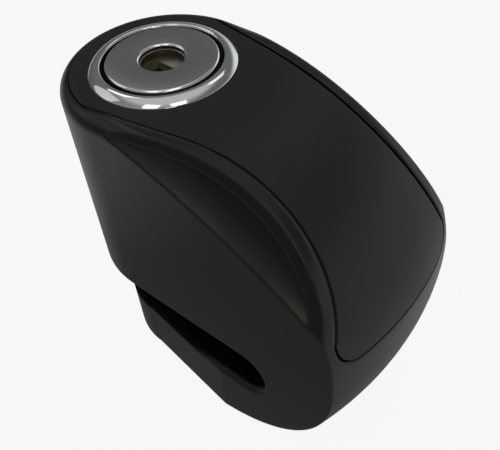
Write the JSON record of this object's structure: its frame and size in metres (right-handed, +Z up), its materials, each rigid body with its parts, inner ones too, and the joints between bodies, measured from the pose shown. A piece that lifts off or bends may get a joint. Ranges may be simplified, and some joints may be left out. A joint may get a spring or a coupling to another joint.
{
  "type": "disc brake lock",
  "caption": "Push-down disc brake lock: black cast body with a disc slot and lower jaw, inlaid front cover, chrome bezel, and a keyed plunger that drives the cross pin.",
  "frame": {"origin": "centre of the bounding box on the base plane", "axes": "+Z up along the locking pin, +X from the slot's mouth to its closed end, +Y across the brake disc's plane of symmetry, to the lock's left"},
  "size_m": [0.0628, 0.033, 0.0611],
  "materials": {
    "black_paint": "satin black paint on a zinc casting",
    "cover_plastic": "satin charcoal",
    "chrome": "polished",
    "face_steel": "satin with fine scratches",
    "core_steel": "plain",
    "core_brass": "plain",
    "seal_rubber": "matte black"
  },
  "bodies": {
    "lock_body": {"body_casting": "black_paint", "front_cover": "cover_plastic", "cover_screws": "core_steel", "bezel_ring": "chrome", "dust_seal": "seal_rubber", "spring_washer": "core_steel", "stop_pin": "core_steel", "return_spring": "core_steel"},
    "plunger": {"plunger_barrel": "core_steel", "face_cap": "face_steel", "locking_pin": "core_steel", "pin_dowel": "core_steel", "latch_spring": "core_steel"},
    "plug": {"key_plug": "core_brass", "guard_disc": "core_steel", "detainer_disc_1": "core_brass", "detainer_disc_2": "core_brass", "detainer_disc_3": "core_brass", "detainer_disc_4": "core_brass", "detainer_disc_5": "core_brass", "detainer_disc_6": "core_brass", "disc_spacers": "core_steel", "sidebar": "core_steel"},
    "latch": {"latch_bolt": "core_steel"}
  },
  "joints": [
    {"name": "plunger_slide", "type": "slide", "parent": "lock_body", "child": "plunger", "axis": [0, 0, 1], "range_m": [0, 0.014], "deforming": ["return_spring"]},
    {"name": "plug_turn", "type": "hinge", "parent": "plunger", "child": "plug", "pos_m": [-0.0149, 0, 0.05], "axis": [0, 0, 1], "range_deg": [0, 90]},
    {"name": "latch_slide", "type": "slide", "parent": "plunger", "child": "latch", "axis": [1, 0, 0], "range_m": [0, 0.002], "deforming": ["latch_spring"]}
  ],
  "couplings": [
    {"joint": "latch_slide", "follows": "plug_turn", "m_per_rad": 0.001273}
  ]
}
